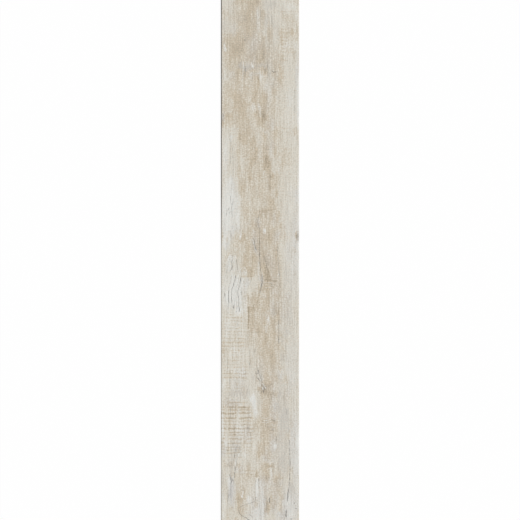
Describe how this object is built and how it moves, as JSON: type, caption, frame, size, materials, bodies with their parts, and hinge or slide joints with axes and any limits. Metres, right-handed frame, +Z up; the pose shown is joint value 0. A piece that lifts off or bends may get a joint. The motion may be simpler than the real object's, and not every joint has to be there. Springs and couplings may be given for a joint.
{
  "type": "glue-down vinyl plank",
  "caption": "Thin flat vinyl flooring plank with a whitewashed sawn-pine face, micro-bevelled long edges and a flat back for gluing down.",
  "frame": {"origin": "centre of the flat glued back", "axes": "+X across the plank, +Y along the grain, +Z up through the thickness to the walking face"},
  "size_m": [0.18, 1.2, 0.0025],
  "materials": {
    "printed_vinyl": "matte"
  },
  "bodies": {
    "root": {"plank": "printed_vinyl"}
  },
  "joints": []
}
